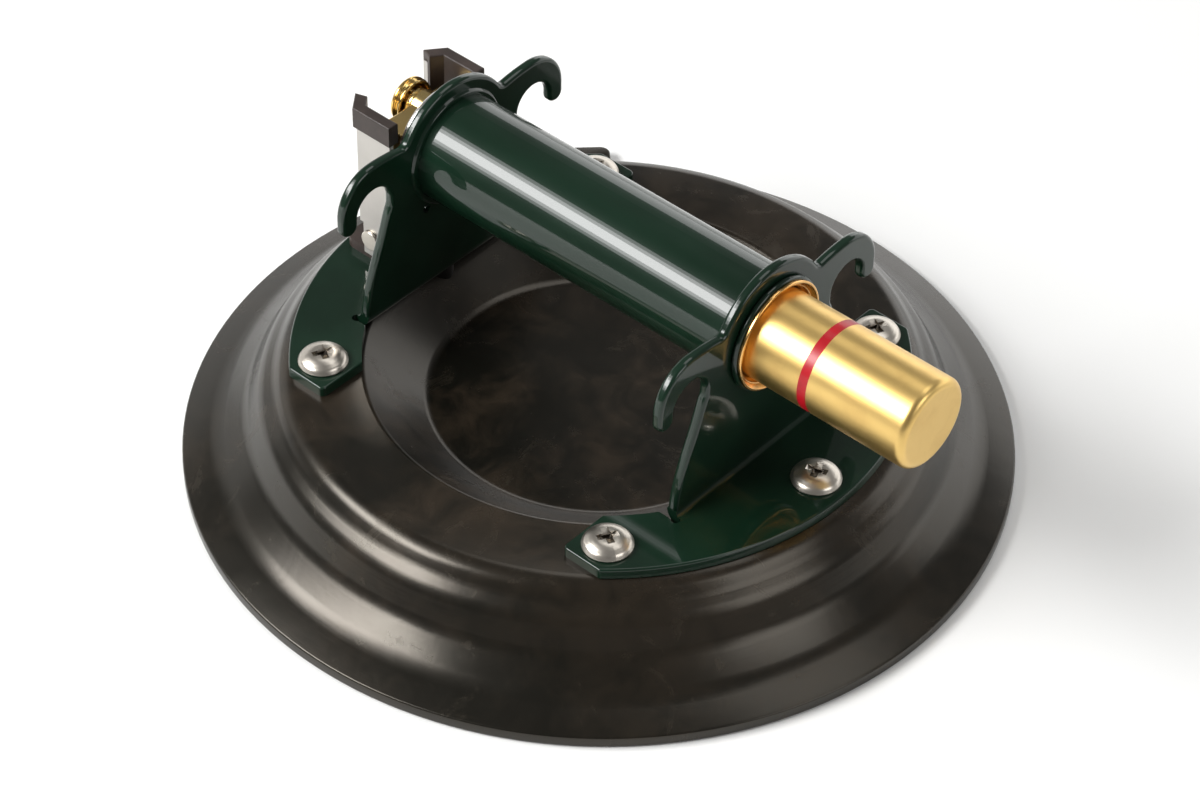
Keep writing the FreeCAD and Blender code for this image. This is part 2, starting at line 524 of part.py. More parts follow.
WEB_LOW, WEB_TOP = PIVOT_Z + 5.0, STEM_Z - 6.0
half = sheet(-LEVER_T, 0, LEVER_BOTTOM, LEVER_TOP)
half = half.cut(box(LEVER_WING_X - 20, LEVER_WING_X + 1.6, -LEVER_WING_Y + 0.6, 1, WEB_TOP, WEB_TOP + 30))
half = half.cut(box(LEVER_WING_X - 20, LEVER_BACK_X + 1.2, -30, 1, 0, WEB_LOW))
lever = half.fuse(half.mirror(V(0, 0, 0), Y)).removeSplitter()
lever = soft(lever, 1.4, lambda e: e.BoundBox.YLength > 1 and e.BoundBox.YLength < 1.8
             and e.BoundBox.XLength < 0.01 and e.BoundBox.ZLength < 0.01
             and e.BoundBox.XMin > LEVER_FRONT_X - 0.1)
lever = lever.cut(Part.makeCylinder(PIN_R + PIN_FIT, 60, V(PIVOT_X, -30, PIVOT_Z), Y))
save("release_lever", lever)

grip = sheet(-LEVER_T - GRIP_IN, GRIP_OUT, GRIP_Z, GRIP_TOP, stop_y=1.0, front=0.8)
grip = soft(grip, 0.5, lambda e: e.BoundBox.ZLength < 0.01 and e.BoundBox.ZMin > GRIP_TOP - 0.01)
# the inner wall of the grip reaches further down behind the end cap
skirt = sheet(-LEVER_T - GRIP_IN, -LEVER_T, GRIP_TOP - GRIP_DEEP, GRIP_TOP - 1.0, stop_y=1.0)
skirt = skirt.common(box(LEVER_WING_X - 20, CAP_X - 4.0, -60, 0, 0, 2 * HANDLE_Z))
grip = grip.fuse(skirt).cut(lever.fuse(half)).removeSplitter()
save("lever_grip_near", grip)
save("lever_grip_far", grip.mirror(V(0, 0, 0), Y))

BASE_HALF_W = LEVER_HALF_W - LEVER_T - GAP
BASE_T = 3.0
BASE_END = -SCREW_PCR - 6.8
CHEEK_R = 3.3
base = box(BASE_END, -SCREW_PCR + 10, -BASE_HALF_W, BASE_HALF_W, FOOT_TOP, FOOT_TOP + BASE_T)
base = soft(base, 3.0, lambda e: e.BoundBox.ZLength > 2 and e.BoundBox.XMax < BASE_END + 1)
for side in (-1, 1):
    y0, y1 = sorted((side * BASE_HALF_W, side * (BASE_HALF_W - 5.0)))
    cheek = box(PIVOT_X - CHEEK_R, PIVOT_X + CHEEK_R, y0, y1, FOOT_TOP + 1, PIVOT_Z)
    cheek = cheek.fuse(Part.makeCylinder(CHEEK_R, y1 - y0, V(PIVOT_X, y0, PIVOT_Z), Y))
    base = base.fuse(cheek)
base = base.removeSplitter()
base = base.cut(Part.makeCylinder(PIN_R + FIT, 60, V(PIVOT_X, -30, PIVOT_Z), Y))
mid = SCREWS[5]
base = base.cut(cyl_z(SCREW_HOLE_R, PLATEAU_Z, PLATEAU_Z + 30, mid[0], mid[1]))
save("lever_base", base)
save("base_screw", screw(mid[0], mid[1], FOOT_TOP + BASE_T, SCREW_TIP))

pin_half = LEVER_HALF_W + 0.15
pin = Part.makeCylinder(PIN_R, 2 * pin_half, V(PIVOT_X, -pin_half, PIVOT_Z), Y)
for side in (-1, 1):
    head = Part.makeCylinder(3.1, 0.8, V(PIVOT_X, side * pin_half, PIVOT_Z), V(0, side, 0))
    head = soft(head, 0.4, lambda e: abs(abs(e.BoundBox.YMin) - pin_half - 0.8) < 0.01)
    pin = pin.fuse(head)
save("lever_pin", pin.removeSplitter())

# ---------------------------------------------------------------- vacuum hose and port
HOSE_LOW = PLATEAU_Z - 6.8
BEND_ARC = 12.0          # the hose steps sideways in two equal bends
STEP_TOP = BLOCK_BOTTOM - 7.0
swing = math.acos(1 - (HOSE_X - NIPPLE_X) / (2 * BEND_ARC))
drop = BEND_ARC * math.sin(swing)
lean = BEND_ARC * (1 - math.cos(swing / 2))
half_drop = BEND_ARC * math.sin(swing / 2)
mid_x = (NIPPLE_X + HOSE_X) / 2


def route_point(x, z):
    return V(x, PORT_Y, z)


path = Part.Wire([
    Part.LineSegment(route_point(NIPPLE_X, BLOCK_BOTTOM - 0.3), route_point(NIPPLE_X, STEP_TOP)).toShape(),
    Part.Arc(route_point(NIPPLE_X, STEP_TOP), route_point(NIPPLE_X + lean, STEP_TOP - half_drop),
             route_point(mid_x, STEP_TOP - drop)).toShape(),
    Part.Arc(route_point(mid_x, STEP_TOP - drop),
             route_point(HOSE_X - lean, STEP_TOP - 2 * drop + half_drop),
             route_point(HOSE_X, STEP_TOP - 2 * drop)).toShape(),
    Part.LineSegment(route_point(HOSE_X, STEP_TOP - 2 * drop), route_point(HOSE_X, HOSE_LOW)).toShape()])


def along_route(r):
    ring = Part.Wire(Part.makeCircle(r, route_point(NIPPLE_X, BLOCK_BOTTOM - 0.3), V(0, 0, -1)))
    return path.makePipeShell([ring], True, True)


hose = along_route(HOSE_R).cut(along_route(HOSE_BORE))
slope = lathe(SKIRT)
hose = hose.cut(slope)
save("vacuum_hose", hose)

stem = lathe([(0, 0, 0), (HOSE_R - 0.9, 0, 0), (HOSE_R - 0.9, 1.4, 0), (HOSE_BORE - FIT, 2.3, 0),
              (HOSE_BORE - FIT, 15.2, 0.2), (0, 15.2, 0)],
             V(HOSE_X, PORT_Y, FILTER_Z + FILTER_T + FIT))
stem = stem.cut(cyl_z(1.0, 0, PLATEAU_Z + 30, HOSE_X, PORT_Y))
save("port_nipple", stem)
save("port_filter", cyl_z(FILTER_R, FILTER_Z, FILTER_Z + FILTER_T, HOSE_X, PORT_Y))
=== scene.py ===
# %% [markdown]
# # A hand vacuum cup with a pump in its handle
#
# A glazier presses the rubber cup on a pane and works the brass plunger until the cup
# holds. This lesson dresses the finished model of that tool: every hard piece comes
# ready made from the design model, and Blender adds what the eye notices, which is
# gloss, wear, moulding marks and light. The design model is loaded first and never
# moved, so each piece already lies where it belongs.

# %% Load the design model
import math

import bmesh
import bpy
from mathutils import Matrix, Quaternion, Vector


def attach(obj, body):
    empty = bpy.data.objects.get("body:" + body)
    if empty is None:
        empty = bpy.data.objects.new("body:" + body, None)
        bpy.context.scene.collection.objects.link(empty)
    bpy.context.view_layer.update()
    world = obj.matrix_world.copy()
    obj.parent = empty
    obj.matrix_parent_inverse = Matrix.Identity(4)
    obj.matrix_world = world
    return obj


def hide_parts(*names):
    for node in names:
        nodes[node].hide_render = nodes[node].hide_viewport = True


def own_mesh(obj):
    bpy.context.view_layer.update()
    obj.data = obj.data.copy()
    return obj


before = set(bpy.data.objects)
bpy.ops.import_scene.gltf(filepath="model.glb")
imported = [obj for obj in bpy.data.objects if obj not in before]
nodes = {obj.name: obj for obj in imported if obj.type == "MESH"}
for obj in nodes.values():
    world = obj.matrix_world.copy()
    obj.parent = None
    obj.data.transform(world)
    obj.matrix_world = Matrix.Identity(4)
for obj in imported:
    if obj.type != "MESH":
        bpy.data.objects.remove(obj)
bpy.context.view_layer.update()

# %% [markdown]
# ## The camera
#
# The tool is seen from above and a little to the right of its plunger, through a long
# lens, as a catalogue shows such things. The camera stands on a line that is given by a
# turn about the upright axis and a height angle. A target and a distance could be set
# by hand in the viewport, but as numbers they stay repeatable. A last small turn about
# the lens axis tips the horizon by about a degree.

# %% Place the camera
CAMERA_TURN = math.radians(41.0)
CAMERA_HEIGHT = math.radians(42.71)
CAMERA_ROLL = math.radians(1.23)
CAMERA_DISTANCE = 0.9551
LENS = 102.0
SENSOR = 36.0
target = Vector((-0.00955, 0.01104, 0.0))


def direction(turn, height):
    """Unit vector from the tool towards a place: turn 0 is -Y, counted towards +X."""
    flat = math.cos(height)
    return Vector((math.sin(turn) * flat, -math.cos(turn) * flat, math.sin(height)))


back = direction(CAMERA_TURN, CAMERA_HEIGHT)
camera = bpy.data.objects.new("camera", bpy.data.cameras.new("camera"))
bpy.context.scene.collection.objects.link(camera)
camera.data.lens = LENS
camera.data.sensor_width = SENSOR
camera.data.clip_start, camera.data.clip_end = 0.01, 50.0
camera.rotation_mode = "QUATERNION"
camera.location = target + back * CAMERA_DISTANCE
level = (-back).to_track_quat("-Z", "Y")
camera.rotation_quaternion = level @ Quaternion((0, 0, 1), CAMERA_ROLL)
bpy.context.scene.camera = camera
print("camera at", tuple(round(c, 3) for c in camera.location))

# %% [markdown]
# ## Floor and studio light
#
# Gloss paint, brass and rubber show their shape by what they reflect, so the lights are
# soft panels with clear edges rather than points. One large panel stands to the left of
# the camera and draws the long bright streak on the handle. It is made of three panels of
# different heights, one behind another, so the streak fades at its edges. A low wide panel
# behind the tool stands for a white backdrop. One on the right and a dimmer one on the left
# pick out the rims and the ends of the tube, and one overhead fills the shadows. Each panel
# is given by its brightness and not its power, because a reflection of it then has the
# same brightness whatever its size. The air around stays nearly dark, or the dark paint
# would look grey.

# %% Lay the floor
FLOOR_HALF = 4.0
FLOOR_DROP = 0.0002      # a hair below the rim, so that the two never share a plane
mesh = bpy.data.meshes.new("floor")
sheet = bmesh.new()
bmesh.ops.create_grid(sheet, x_segments=1, y_segments=1, size=FLOOR_HALF)
sheet.to_mesh(mesh)
sheet.free()
floor = bpy.data.objects.new("floor", mesh)
floor.location.z = -FLOOR_DROP
bpy.context.scene.collection.objects.link(floor)
print("floor", 2 * FLOOR_HALF, "m across")

# %% Hang the panels
def panel(name, turn, height, distance, width, tall, brightness, aim=(0, 0, 0.04)):
    """Soft rectangular light of an even brightness that looks at the tool."""
    light = bpy.data.lights.new(name, "AREA")
    light.shape = "RECTANGLE"
    light.size, light.size_y = width, tall
    light.energy = brightness * math.pi * width * tall
    lamp = bpy.data.objects.new(name, light)
    away = direction(math.radians(turn), math.radians(height))
    lamp.rotation_mode = "QUATERNION"
    lamp.rotation_quaternion = away.to_track_quat("Z", "Y")
    lamp.location = Vector(aim) + away * distance
    lamp.visible_camera = False
    bpy.context.scene.collection.objects.link(lamp)


KEY_LAYERS = ((0.28, 9.5), (0.50, 5.5), (0.72, 3.5))     # how tall, and how bright
KEY_DISTANCE, KEY_GAP, KEY_WIDTH = 1.3, 0.01, 0.9
for layer, (tall, brightness) in enumerate(KEY_LAYERS):
    panel("key_panel_%d" % layer, -36, 39, KEY_DISTANCE + KEY_GAP * layer, KEY_WIDTH, tall,
          brightness)
panel("backdrop_panel", 180, 12, 2.2, 4.4, 1.2, 1.6)
panel("right_panel", 95, 30, 1.8, 0.8, 0.8, 3.0)
panel("left_panel", -105, 14, 2.0, 2.4, 0.9, 0.8)
panel("top_panel", 180, 70, 1.8, 1.6, 0.6, 2.0)

AIR_COLOUR, AIR_STRENGTH = (1.0, 0.99, 0.97, 1), 0.16
world = bpy.data.worlds.new("studio")
bpy.context.scene.world = world
world.use_nodes = True
air = world.node_tree.nodes["Background"].inputs
air["Color"].default_value = AIR_COLOUR
air["Strength"].default_value = AIR_STRENGTH
bpy.context.scene.view_settings.view_transform = "Standard"

# %% [markdown]
# ## Writing finishes as sums
#
# A finish is a small network of nodes. Wiring each one by hand hides the idea, which is
# often just "a bit of this where that is high". So a socket is wrapped in a class that
# knows plus, minus and times, and each sign adds one Math node. Everything that isn't a
# sum goes through one method, which takes the kind of node, its settings and what its
# sockets get.

# %% A socket that can be added and multiplied
class Signal:
    """An output socket of a finish, with arithmetic."""

    def __init__(self, finish, socket):
        self.finish, self.socket = finish, socket

    def math(self, operation, *values):
        settings = {"operation": operation}
        return self.finish.node("ShaderNodeMath", settings, dict(enumerate(values)))

    def __add__(self, other):
        return self.math("ADD", self, other)

    def __sub__(self, other):
        return self.math("SUBTRACT", self, other)

    def __rsub__(self, other):
        return self.math("SUBTRACT", other, self)

    def __mul__(self, other):
        return self.math("MULTIPLY", self, other)

    __radd__, __rmul__ = __add__, __mul__

    def least(self, other):
        """The smaller of the two."""
        return self.math("MINIMUM", self, other)

    def step(self, low, high):
        """0 below low, 1 above high, and a smooth rise between them."""
        settings = {"interpolation_type": "SMOOTHSTEP"}
        if low < high:
            ends = {"Value": self, "From Min": low, "From Max": high}
            return self.finish.node("ShaderNodeMapRange", settings, ends)
        ends = {"Value": self, "From Min": high, "From Max": low, "To Min": 1.0, "To Max": 0.0}
        return self.finish.node("ShaderNodeMapRange", settings, ends)


# %% A finish and its nodes
class Finish:
    """One material. Its patterns are read in the piece's own coordinates, in metres."""

    def __init__(self, name, **sockets):
        self.material = bpy.data.materials.new(name)
        self.material.use_nodes = True
        self.tree = self.material.node_tree
        self.shader = self.tree.nodes["Principled BSDF"]
        self.place = self.node("ShaderNodeTexCoord", out="Object")
        self.set(**sockets)

    def connect(self, value, socket):
        if isinstance(value, Signal):
            self.tree.links.new(value.socket, socket)
        elif socket.type == "RGBA" and len(value) == 3:
            socket.default_value = (*value, 1.0)
        else:
            socket.default_value = value

    def node(self, kind, settings=None, inputs=None, out=0):
        """Adds a node and gives back one of its outputs, by number or name."""
        made = self.tree.nodes.new(kind)
        for key, value in (settings or {}).items():
            setattr(made, key, value)
        for key, value in (inputs or {}).items():
            self.connect(value, made.inputs[key])
        return Signal(self, made.outputs[out])

    def set(self, **sockets):
        """Value or signal for each socket of the main shader, spaces as underscores."""
        for key, value in sockets.items():
            self.connect(value, self.shader.inputs[key.replace("_", " ")])

    def part(self, axis):
        """One coordinate of the place, along the axis numbered 0, 1 or 2."""
        return self.node("ShaderNodeSeparateXYZ", None, {0: self.place}, axis)

    def moved(self, centre=(0, 0, 0), stretch=(1, 1, 1)):
        """The place seen from a centre and stretched, for patterns that have a grain."""
        from_centre = [-c * s for c, s in zip(centre, stretch)]
        return self.node("ShaderNodeMapping", None,
                         {"Vector": self.place, "Location": from_centre, "Scale": stretch})

    def noise(self, scale, detail=3.0, roughness=0.5, warp=0.0, point=None):
        """Soft clouds from 0 to 1; scale counts them per metre."""
        return self.node("ShaderNodeTexNoise", None, {
            "Vector": point or self.place, "Scale": scale, "Detail": detail,
            "Roughness": roughness, "Distortion": warp}, "Fac")

    def spots(self, scale, feature="F1"):
        """Distance to the nearest of many scattered points, or to the line between two."""
        return self.node("ShaderNodeTexVoronoi", {"feature": feature},
                         {"Vector": self.place, "Scale": scale}, "Distance")

    def blend(self, share, low, high):
        """From the low colour to the high one."""
        return self.node("ShaderNodeMix", {"data_type": "RGBA"},
                         {0: share, 6: low, 7: high}, 2)

    def bump(self, height, depth, strength=1.0, under=None):
        """Relief of this depth in metres, on top of another one if there is one."""
        inputs = {"Height": height, "Distance": depth, "Strength": strength}
        if under:
            inputs["Normal"] = under
        return self.node("ShaderNodeBump", None, inputs)

    def about(self, axis, centre):
        """Distance from a line through centre, along the axis numbered 0, 1 or 2."""
        flat = [0.0 if i == axis else 1.0 for i in range(3)]
        return self.node("ShaderNodeVectorMath", {"operation": "LENGTH"},
                         {0: self.moved(centre, flat)}, "Value")


def dress(finish, *names):
    """Gives a finish to design model pieces."""
    for name in names:
        data = nodes[name].data
        data.materials.clear()
        data.materials.append(finish.material)
    print(finish.material.name, "on", ", ".join(names))

# %% [markdown]
# ## Green enamel
#
# The legs and the handle tube are steel, sprayed with a very dark green gloss enamel.
# Enamel is two things: a coloured layer that is nearly black-green, and a clear skin on
# it that mirrors the room. The Coat of the main shader is that skin. Sprayed paint is
# never quite flat, so a slow, shallow waviness bends the reflections, and a few specks of
# dust lie under the skin. A flat green would look like plastic toy paint.

# %% Enamel
ENAMEL_DEEP = (0.0035, 0.0150, 0.0075)
ENAMEL_THIN = (0.0060, 0.0225, 0.0120)
DUST = (0.05, 0.07, 0.055)


def enamel(name, flow):
    """Gloss paint; flow stretches the waviness, as on a tube that turned while it dried."""
    paint = Finish(name, Specular_IOR_Level=0.08, Coat_Weight=0.8, Coat_Roughness=0.03,
                   Coat_IOR=1.5)
    run = paint.moved(stretch=flow)
    cloud = paint.noise(38.0, 4.0, 0.55, point=run)
    dust = paint.spots(520.0).step(0.16, 0.06) * paint.noise(90.0, 2.0).step(0.60, 0.70)
    colour = paint.blend(cloud.step(0.35, 0.70), ENAMEL_DEEP, ENAMEL_THIN)
    colour = paint.blend(dust * 0.35, colour, DUST)
    peel = paint.noise(330.0, 2.0, 0.5, point=run)
    relief = paint.bump(peel, 0.00002, 0.35)
    relief = paint.bump(dust, 0.00004, 0.5, under=relief)
    paint.set(Base_Color=colour, Normal=relief, Roughness=0.26 + cloud * 0.14)
    return paint


leg_paint = enamel("leg_enamel", (1, 1, 1))
tube_paint = enamel("tube_enamel", (0.35, 1, 1))
dress(leg_paint, "front_leg", "rear_leg")
dress(tube_paint, "handle_tube")

# %% [markdown]
# ## Moulded rubber
#
# The cup comes out of a mould with a dull shine. Wax that rises out of natural rubber
# leaves brown clouds on the black, mostly on the flat ring and the dish, and handling
# polishes the shoulders. So the colour runs between black and brown by two sizes of
# cloud, one inside the other, and the same clouds drive the shine. Fine turned marks
# from the mould go round the middle.

# %% Rubber
RUBBER_BLACK = (0.0046, 0.0043, 0.0031)
RUBBER_BROWN = (0.028, 0.0200, 0.0130)
RUBBER_BLOOM = (0.050, 0.039, 0.026)

rubber = Finish("cup_rubber", Specular_IOR_Level=0.5, Specular_Tint=(1.0, 0.92, 0.80))
from_middle = rubber.about(2, (0, 0, 0))
big_cloud = rubber.noise(19.0, 4.0, 0.6, 0.6)
small_cloud = rubber.noise(75.0, 5.0, 0.62, 0.9)
clouds = (big_cloud * 0.62 + small_cloud * 0.38).step(0.42, 0.66)
ring_share = from_middle.step(0.105, 0.060)
colour = rubber.blend(clouds * (ring_share * 0.6 + 0.4), RUBBER_BLACK, RUBBER_BROWN)
bloom = rubber.noise(46.0, 6.0, 0.7, 1.4).step(0.54, 0.80)
colour = rubber.blend(bloom * 0.35, colour, RUBBER_BLOOM)
turned = rubber.node("ShaderNodeTexNoise", {"noise_dimensions": "1D"},
                     {"W": from_middle, "Scale": 2600.0, "Detail": 1.0}, "Fac")
grain = rubber.noise(1500.0, 2.0, 0.5)
relief = rubber.bump(turned, 0.00002, 0.25)
relief = rubber.bump(grain, 0.00002, 0.35, under=relief)
relief = rubber.bump(small_cloud, 0.00012, 0.35, under=relief)
rubber.set(Base_Color=colour, Normal=relief,
           Roughness=0.20 + bloom * 0.12 + small_cloud * 0.10)
print("rubber finish", rubber.material.name)

# %% [markdown]
# ## Turning the rubber cup
#
# The design model's cup is exact but a little hard to the eye, as its mesh has long thin
# triangles that spoil a gloss. Rubber wants even rings that flow into each other. A cup
# is round, so its section is drawn once, as a few corners, and spun about the upright
# axis. Then each ring of edges is beveled by its own radius, as a toolmaker rounds the
# corners of the mould. The steel ring stays inside, as the real rubber is moulded
# round it.

# %% Corners of the section
PLATE_IN, PLATE_OUT, RIM = 0.0646, 0.0858, 0.1150
CUP_SECTION = [
    (0.0, 0.0165, 0.0), (0.0474, 0.0165, 0.0040), (PLATE_IN, 0.0298, 0.0026),
    (PLATE_OUT, 0.0298, 0.0060), (0.0892, 0.0252, 0.0090), (0.0928, 0.0222, 0.0090),
    (0.0970, 0.0138, 0.0100), (0.1050, 0.0068, 0.0140), (RIM, 0.0034, 0.0007),
    (RIM, 0.0, 0.0006), (0.1104, 0.0, 0.0008), (0.1060, 0.0032, 0.0040),
    (0.0970, 0.0094, 0.0060), (0.0832, 0.0222, 0.0040), (0.0670, 0.0222, 0.0040),
    (0.0489, 0.0108, 0.0040), (0.0, 0.0108, 0.0)]       # radius, height, corner radius
SAME_PLACE = 1e-5        # corners closer than this, in metres, are one


def round_ring(shape, section, index, segments):
    """Bevels the ring that a corner of the section drew, by that corner's radius."""
    radius, height, soft = section[index]
    here = Vector((radius, height))
    arms = [(Vector(section[i][:2]) - here).normalized() for i in (index - 1, index + 1)]
    half = arms[0].angle(arms[1]) / 2
    ring = [e for e in shape.edges if all(
        abs(v.co.xy.length - radius) < SAME_PLACE and abs(v.co.z - height) < SAME_PLACE
        for v in e.verts)]
    bmesh.ops.bevel(shape, geom=ring, offset=soft / math.tan(half), segments=segments,
                    profile=0.5, affect="EDGES", clamp_overlap=True, material=-1)


# %% Spin the cup
CUP_STEPS, CORNER_STEPS = 160, 5
WELD = 1e-6
cup_shape = bmesh.new()
corners = [cup_shape.verts.new((radius, 0, height)) for radius, height, soft in CUP_SECTION]
chain = [cup_shape.edges.new(pair) for pair in zip(corners, corners[1:])]
bmesh.ops.spin(cup_shape, geom=corners + chain, axis=(0, 0, 1), cent=(0, 0, 0),
               angle=2 * math.pi, steps=CUP_STEPS, use_merge=True)
bmesh.ops.remove_doubles(cup_shape, verts=cup_shape.verts, dist=WELD)
for index, (radius, height, soft) in enumerate(CUP_SECTION):
    if soft:
        round_ring(cup_shape, CUP_SECTION, index, CORNER_STEPS)
bmesh.ops.recalc_face_normals(cup_shape, faces=cup_shape.faces)
print("cup", len(cup_shape.faces), "faces")

# %% [markdown]
# ## The pull tab
#
# A short tongue on the rim lets a finger break the seal. It is a flat block, rounded in
# plan first and then along its top, and it sinks into the rim so that no gap shows.

# %% Tongue on the rim
TAB_LENGTH, TAB_WIDTH, TAB_THICK = 0.0137, 0.0200, 0.0025
TAB_SUNK = 0.0040        # how far the tongue reaches into the rim
TAB_MIDDLE = 0.00195     # height of its middle over the pane
TAB_TURN = math.radians(135)
TAB_CORNER, TAB_EDGE = 0.003, 0.0005     # rounding in plan, and of the top edge
tab_shape = bmesh.new()
bmesh.ops.create_cube(tab_shape, size=1.0)
bmesh.ops.scale(tab_shape, verts=tab_shape.verts, vec=(TAB_LENGTH, TAB_WIDTH, TAB_THICK))
bmesh.ops.translate(tab_shape, verts=tab_shape.verts,
                    vec=(RIM - TAB_SUNK + TAB_LENGTH / 2, 0, TAB_MIDDLE))
upright = [e for e in tab_shape.edges if all(v.co.x > RIM for v in e.verts)
           and abs(e.verts[0].co.z - e.verts[1].co.z) > TAB_THICK / 2]
bmesh.ops.bevel(tab_shape, geom=upright, offset=TAB_CORNER, segments=6, profile=0.5,
                affect="EDGES", clamp_overlap=True, material=-1)
brim = [e for e in tab_shape.edges if all(v.co.z > TAB_MIDDLE for v in e.verts)]
bmesh.ops.bevel(tab_shape, geom=brim, offset=TAB_EDGE, segments=3, profile=0.5,
                affect="EDGES", clamp_overlap=True, material=-1)
bmesh.ops.rotate(tab_shape, verts=tab_shape.verts, cent=(0, 0, 0),
                 matrix=Matrix.Rotation(TAB_TURN, 3, "Z"))
tab_mesh = bpy.data.meshes.new("tongue")
tab_shape.to_mesh(tab_mesh)
tab_shape.free()
cup_shape.from_mesh(tab_mesh)
print("cup and tongue", len(cup_shape.faces), "faces")

# %% [markdown]
# ## From a shape to a piece
#
# A shape made here becomes a piece of the tool in three steps. It rides on one of the
# bodies, so it moves as that body does. It gets its finish. And it takes the place of
# the design pieces that it stands for.

# %% The cup as a piece
def piece_from(name, shape, body, finish, slot_name, *replaced):
    """Makes an object of a bmesh, lets it ride on a body and stand for design pieces."""
    data = bpy.data.meshes.new(name)
    for face in shape.faces:
        face.smooth = True
    shape.to_mesh(data)
    shape.free()
    data.materials.append(finish.material)
    made = bpy.data.objects.new(name, data)
    bpy.context.scene.collection.objects.link(made)
    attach(made, body)
    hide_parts(*replaced)
    print(name, "stands for", ", ".join(replaced))
    return made


piece_from("rubber_cup", cup_shape, "cup", rubber, "rubber_black", "suction_pad")

# %% [markdown]
# ## Brass
#
# Four brass finishes are on the tool. The plunger is satin from a turning cloth, so its
# highlights are wide. The mouth of the pump is bright and a little redder. The valve
# block is milled and the knob is polished. They are one recipe with other numbers: a
# metal colour, fine lathe lines around an axis, and a faint cloud of tarnish.

# %% Brass recipe
def brass(name, colour, tarnish, shine, lines, centre, axis=0):
    """Turned brass; lines is the depth of the lathe marks about an axis, in metres."""
    metal = Finish(name, Metallic=1.0)
    cloud = metal.noise(120.0, 4.0, 0.6, 0.5)
    hand = metal.noise(900.0, 2.0, 0.6)
    radius = metal.about(axis, centre)
    turn = metal.part(axis) + radius * 0.7
    fine = metal.node("ShaderNodeTexNoise", {"noise_dimensions": "1D"},
                      {"W": turn, "Scale": 9000.0, "Detail": 2.0}, "Fac")
    relief = metal.bump(fine, lines, 0.6)
    relief = metal.bump(hand, lines * 0.8, 0.4, under=relief)
    metal.set(Base_Color=metal.blend(cloud.step(0.40, 0.75) * 0.55, colour, tarnish),
              Roughness=shine + cloud * 0.10 + fine * 0.05, Normal=relief)
    return metal


handle_line = (0, 0, 0.0734)
stem_line = (0, 0.0035, 0.0765)
plunger_brass = brass("plunger_satin_brass", (0.80, 0.55, 0.195), (0.70, 0.46, 0.16), 0.29,
                      0.000004, handle_line)
mouth_brass = brass("pump_mouth_brass", (0.88, 0.52, 0.19), (0.72, 0.34, 0.10), 0.12,
                    0.000003, handle_line)
knob_brass = brass("knob_polished_brass", (0.88, 0.62, 0.24), (0.66, 0.42, 0.15), 0.08,
                   0.000004, stem_line)
block_brass = brass("valve_milled_brass", (0.87, 0.65, 0.28), (0.70, 0.48, 0.19), 0.16,
                    0.000003, stem_line, 1)
dress(plunger_brass, "plunger_cap")
dress(mouth_brass, "pump_cylinder")
dress(knob_brass, "release_knob")
dress(block_brass, "valve_block", "end_plug")

# %% [markdown]
# ## The red warning band
#
# A red ring in a shallow groove of the plunger comes out of the handle when vacuum is
# lost. It is a line of lacquer, so it has a clear skin like the enamel, but over bright
# red, with a slightly uneven depth where the brush overlapped.

# %% Red lacquer
RED_THIN, RED_THICK = (0.46, 0.005, 0.014), (0.34, 0.003, 0.009)
red = Finish("band_lacquer", Specular_IOR_Level=0.3, Coat_Weight=0.25, Coat_Roughness=0.10)
thick = red.noise(160.0, 3.0, 0.5)
red.set(Base_Color=red.blend(thick.step(0.35, 0.7), RED_THIN, RED_THICK),
        Roughness=0.30 + thick * 0.15, Normal=red.bump(red.noise(700.0, 2.0), 0.00002, 0.4))
dress(red, "red_band")

# %% [markdown]
# ## Steel
#
# The lever is bright stainless sheet with a straight rolled grain. The screws are rolled
# and tumbled, so they have no direction, only fine nicks, and shade is painted into the
# cross of each head. Plain zinc-coated steel is hidden inside. One recipe again, with the
# grain given as how far the pattern is stretched along each axis.

# %% Steel recipe
def steel(name, colour, stretch, shine, depth, dark=None):
    """Bright steel with a grain; dark is a mask of where shade is painted in."""
    metal = Finish(name, Metallic=1.0)
    grain = metal.noise(2500.0, 3.0, 0.6, point=metal.moved(stretch=stretch))
    cloud = metal.noise(70.0, 3.0, 0.6)
    nicks = metal.spots(800.0, feature="DISTANCE_TO_EDGE").step(0.05, 0.0)
    shade = metal.blend(cloud.step(0.4, 0.7) * 0.4, colour, [c * 0.82 for c in colour])
    if dark:
        # painted shade: the colour is darkened where the cross recess would lie in shadow
        shade = metal.blend(dark(metal) * 0.8, shade, PAINTED_RECESS_SHADE)
    relief = metal.bump(grain, depth, 0.5)
    relief = metal.bump(nicks, depth, 0.25, under=relief)
    metal.set(Base_Color=shade, Normal=relief, Roughness=shine + grain * 0.10 + cloud * 0.06)
    return metal


SCREW_RADIUS = 0.0752    # the foot screws lie on this circle
SCREW_TURNS = (-46.9, 0.0, 46.9, 133.1, 226.9)
SCREW_TOP = 0.0361
DOME_DROP = 28.0         # a dome falls by this times its radius squared
CROSS_DEPTH = (0.0004, 0.0012)
CROSS_REACH = (0.0040, 0.0034)
# colour of the shade painted into the cross of each screw head
PAINTED_RECESS_SHADE = (0.09, 0.07, 0.05)


def in_recess(metal):
    """1 inside the cross recess of any screw head, 0 on its dome."""
    near = None
    for turn in SCREW_TURNS:
        a = math.radians(turn)
        gap = metal.about(2, (SCREW_RADIUS * math.cos(a), SCREW_RADIUS * math.sin(a), 0))
        near = near.least(gap) if near else gap
    dome = (near * near) * -DOME_DROP + SCREW_TOP
    return (dome - metal.part(2)).step(*CROSS_DEPTH) * near.step(*CROSS_REACH)


